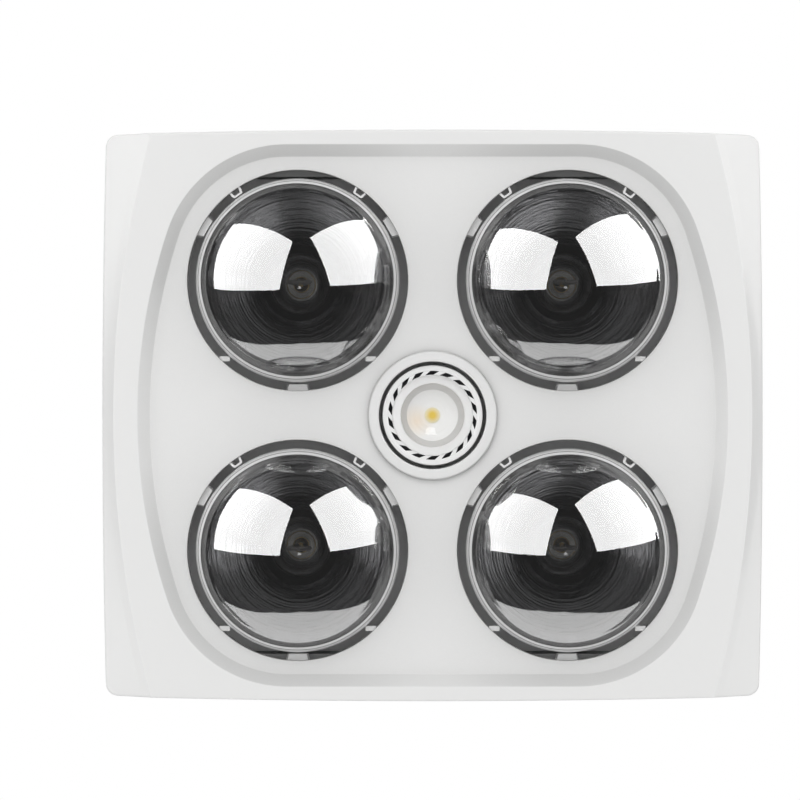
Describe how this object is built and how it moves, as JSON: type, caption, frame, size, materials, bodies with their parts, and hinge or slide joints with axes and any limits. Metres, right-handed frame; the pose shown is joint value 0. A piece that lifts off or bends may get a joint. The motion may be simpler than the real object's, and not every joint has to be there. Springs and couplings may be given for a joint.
{
  "type": "bathroom ceiling heater",
  "caption": "Ceiling unit with a white fascia, clear-front infrared reflector lamps, a small centre light, and an exhaust fan drawing air round the lamps.",
  "frame": {"origin": "middle of the ceiling cut-out, on the underside of the ceiling board where the housing's flange lies", "axes": "+Z up into the ceiling, the fascia faces -Z; +X along the fascia's longer side, towards the outlet spigot; the picture's up is -Y"},
  "size_m": [0.406, 0.35, 0.3146],
  "materials": {
    "white_plastic": "fine satin moulding",
    "lamp_glass": "clear front, mirrored inside behind",
    "spot_lens": "clear",
    "galvanised_steel": "zinc coated sheet",
    "bright_aluminium": "bright rolled sheet",
    "nickel_plate": "nickel plated",
    "brass": "plain",
    "porcelain": "unglazed steatite",
    "black_plastic": "moulded",
    "grey_plastic": "moulded",
    "filament_metal": "bare",
    "motor_steel": "laminated and lacquered",
    "led_phosphor": "silicone over the chip"
  },
  "bodies": {
    "housing": {"housing_tub": "galvanised_steel", "heat_deflector_plate": "bright_aluminium", "lampholder_1_body": "porcelain", "lampholder_2_body": "porcelain", "lampholder_3_body": "porcelain", "lampholder_4_body": "porcelain", "lampholder_1_shell": "brass", "lampholder_2_shell": "brass", "lampholder_3_shell": "brass", "lampholder_4_shell": "brass", "led_holder_body": "porcelain", "led_holder_shell": "brass", "led_holder_bracket": "galvanised_steel", "scroll_casing": "galvanised_steel", "scroll_lid": "galvanised_steel", "motor_case": "galvanised_steel", "motor_end_plate": "galvanised_steel", "motor_stator": "motor_steel", "outlet_spigot": "galvanised_steel", "damper_pin": "nickel_plate", "terminal_box": "grey_plastic", "terminal_box_lid": "grey_plastic", "terminal_block": "porcelain", "cable_gland": "black_plastic", "thermal_cutout": "black_plastic", "clamp_screw_1": "nickel_plate", "clamp_screw_2": "nickel_plate", "clamp_screw_3": "nickel_plate", "clamp_screw_4": "nickel_plate"},
    "cover": {"fascia": "white_plastic"},
    "heat_lamp_1": {"heat_lamp_1_glass": "lamp_glass", "heat_lamp_1_filament": "filament_metal", "heat_lamp_1_cap": "nickel_plate", "heat_lamp_1_contact": "brass"},
    "heat_lamp_2": {"heat_lamp_2_glass": "lamp_glass", "heat_lamp_2_filament": "filament_metal", "heat_lamp_2_cap": "nickel_plate", "heat_lamp_2_contact": "brass"},
    "heat_lamp_3": {"heat_lamp_3_glass": "lamp_glass", "heat_lamp_3_filament": "filament_metal", "heat_lamp_3_cap": "nickel_plate", "heat_lamp_3_contact": "brass"},
    "heat_lamp_4": {"heat_lamp_4_glass": "lamp_glass", "heat_lamp_4_filament": "filament_metal", "heat_lamp_4_cap": "nickel_plate", "heat_lamp_4_contact": "brass"},
    "centre_lamp": {"led_body": "white_plastic", "led_lens": "spot_lens", "led_chip": "led_phosphor", "led_cap": "nickel_plate", "led_contact": "brass"},
    "fan": {"impeller": "black_plastic", "motor_rotor": "motor_steel", "fan_shaft": "nickel_plate"},
    "flap_left": {"damper_flap_left": "bright_aluminium"},
    "flap_right": {"damper_flap_right": "bright_aluminium"},
    "arm_1": {"clamp_arm_1": "grey_plastic"},
    "arm_2": {"clamp_arm_2": "grey_plastic"},
    "arm_3": {"clamp_arm_3": "grey_plastic"},
    "arm_4": {"clamp_arm_4": "grey_plastic"}
  },
  "joints": [
    {"name": "fan_spin", "type": "hinge", "parent": "housing", "child": "fan", "pos_m": [0, 0, 0.2], "axis": [0, 0, 1], "continuous": true},
    {"name": "flap_left_swing", "type": "hinge", "parent": "housing", "child": "flap_left", "pos_m": [0.1043, -0.042, 0.1853], "axis": [0, 0, 1], "range_deg": [0, 80], "stiffness_Nm_per_rad": 0.004},
    {"name": "flap_right_swing", "type": "hinge", "parent": "housing", "child": "flap_right", "pos_m": [0.1043, -0.042, 0.1853], "axis": [0, 0, -1], "range_deg": [0, 80], "stiffness_Nm_per_rad": 0.004},
    {"name": "fascia_drop", "type": "slide", "parent": "housing", "child": "cover", "axis": [0, 0, -1], "range_m": [0, 0.09]},
    {"name": "heat_lamp_1_withdraw", "type": "slide", "parent": "housing", "child": "heat_lamp_1", "axis": [0, 0, -1], "range_m": [0, 0.18]},
    {"name": "heat_lamp_2_withdraw", "type": "slide", "parent": "housing", "child": "heat_lamp_2", "axis": [0, 0, -1], "range_m": [0, 0.18]},
    {"name": "heat_lamp_3_withdraw", "type": "slide", "parent": "housing", "child": "heat_lamp_3", "axis": [0, 0, -1], "range_m": [0, 0.18]},
    {"name": "heat_lamp_4_withdraw", "type": "slide", "parent": "housing", "child": "heat_lamp_4", "axis": [0, 0, -1], "range_m": [0, 0.18]},
    {"name": "centre_lamp_withdraw", "type": "slide", "parent": "housing", "child": "centre_lamp", "axis": [0, 0, -1], "range_m": [0, 0.1]},
    {"name": "clamp_arm_1_swing", "type": "hinge", "parent": "housing", "child": "arm_1", "pos_m": [-0.045, -0.1565, 0.02], "axis": [0, 0, -1], "range_deg": [0, 90]},
    {"name": "clamp_arm_2_swing", "type": "hinge", "parent": "housing", "child": "arm_2", "pos_m": [0.045, -0.1565, 0.02], "axis": [0, 0, 1], "range_deg": [0, 90]},
    {"name": "clamp_arm_3_swing", "type": "hinge", "parent": "housing", "child": "arm_3", "pos_m": [-0.045, 0.1565, 0.02], "axis": [0, 0, 1], "range_deg": [0, 90]},
    {"name": "clamp_arm_4_swing", "type": "hinge", "parent": "housing", "child": "arm_4", "pos_m": [0.045, 0.1565, 0.02], "axis": [0, 0, -1], "range_deg": [0, 90]}
  ]
}
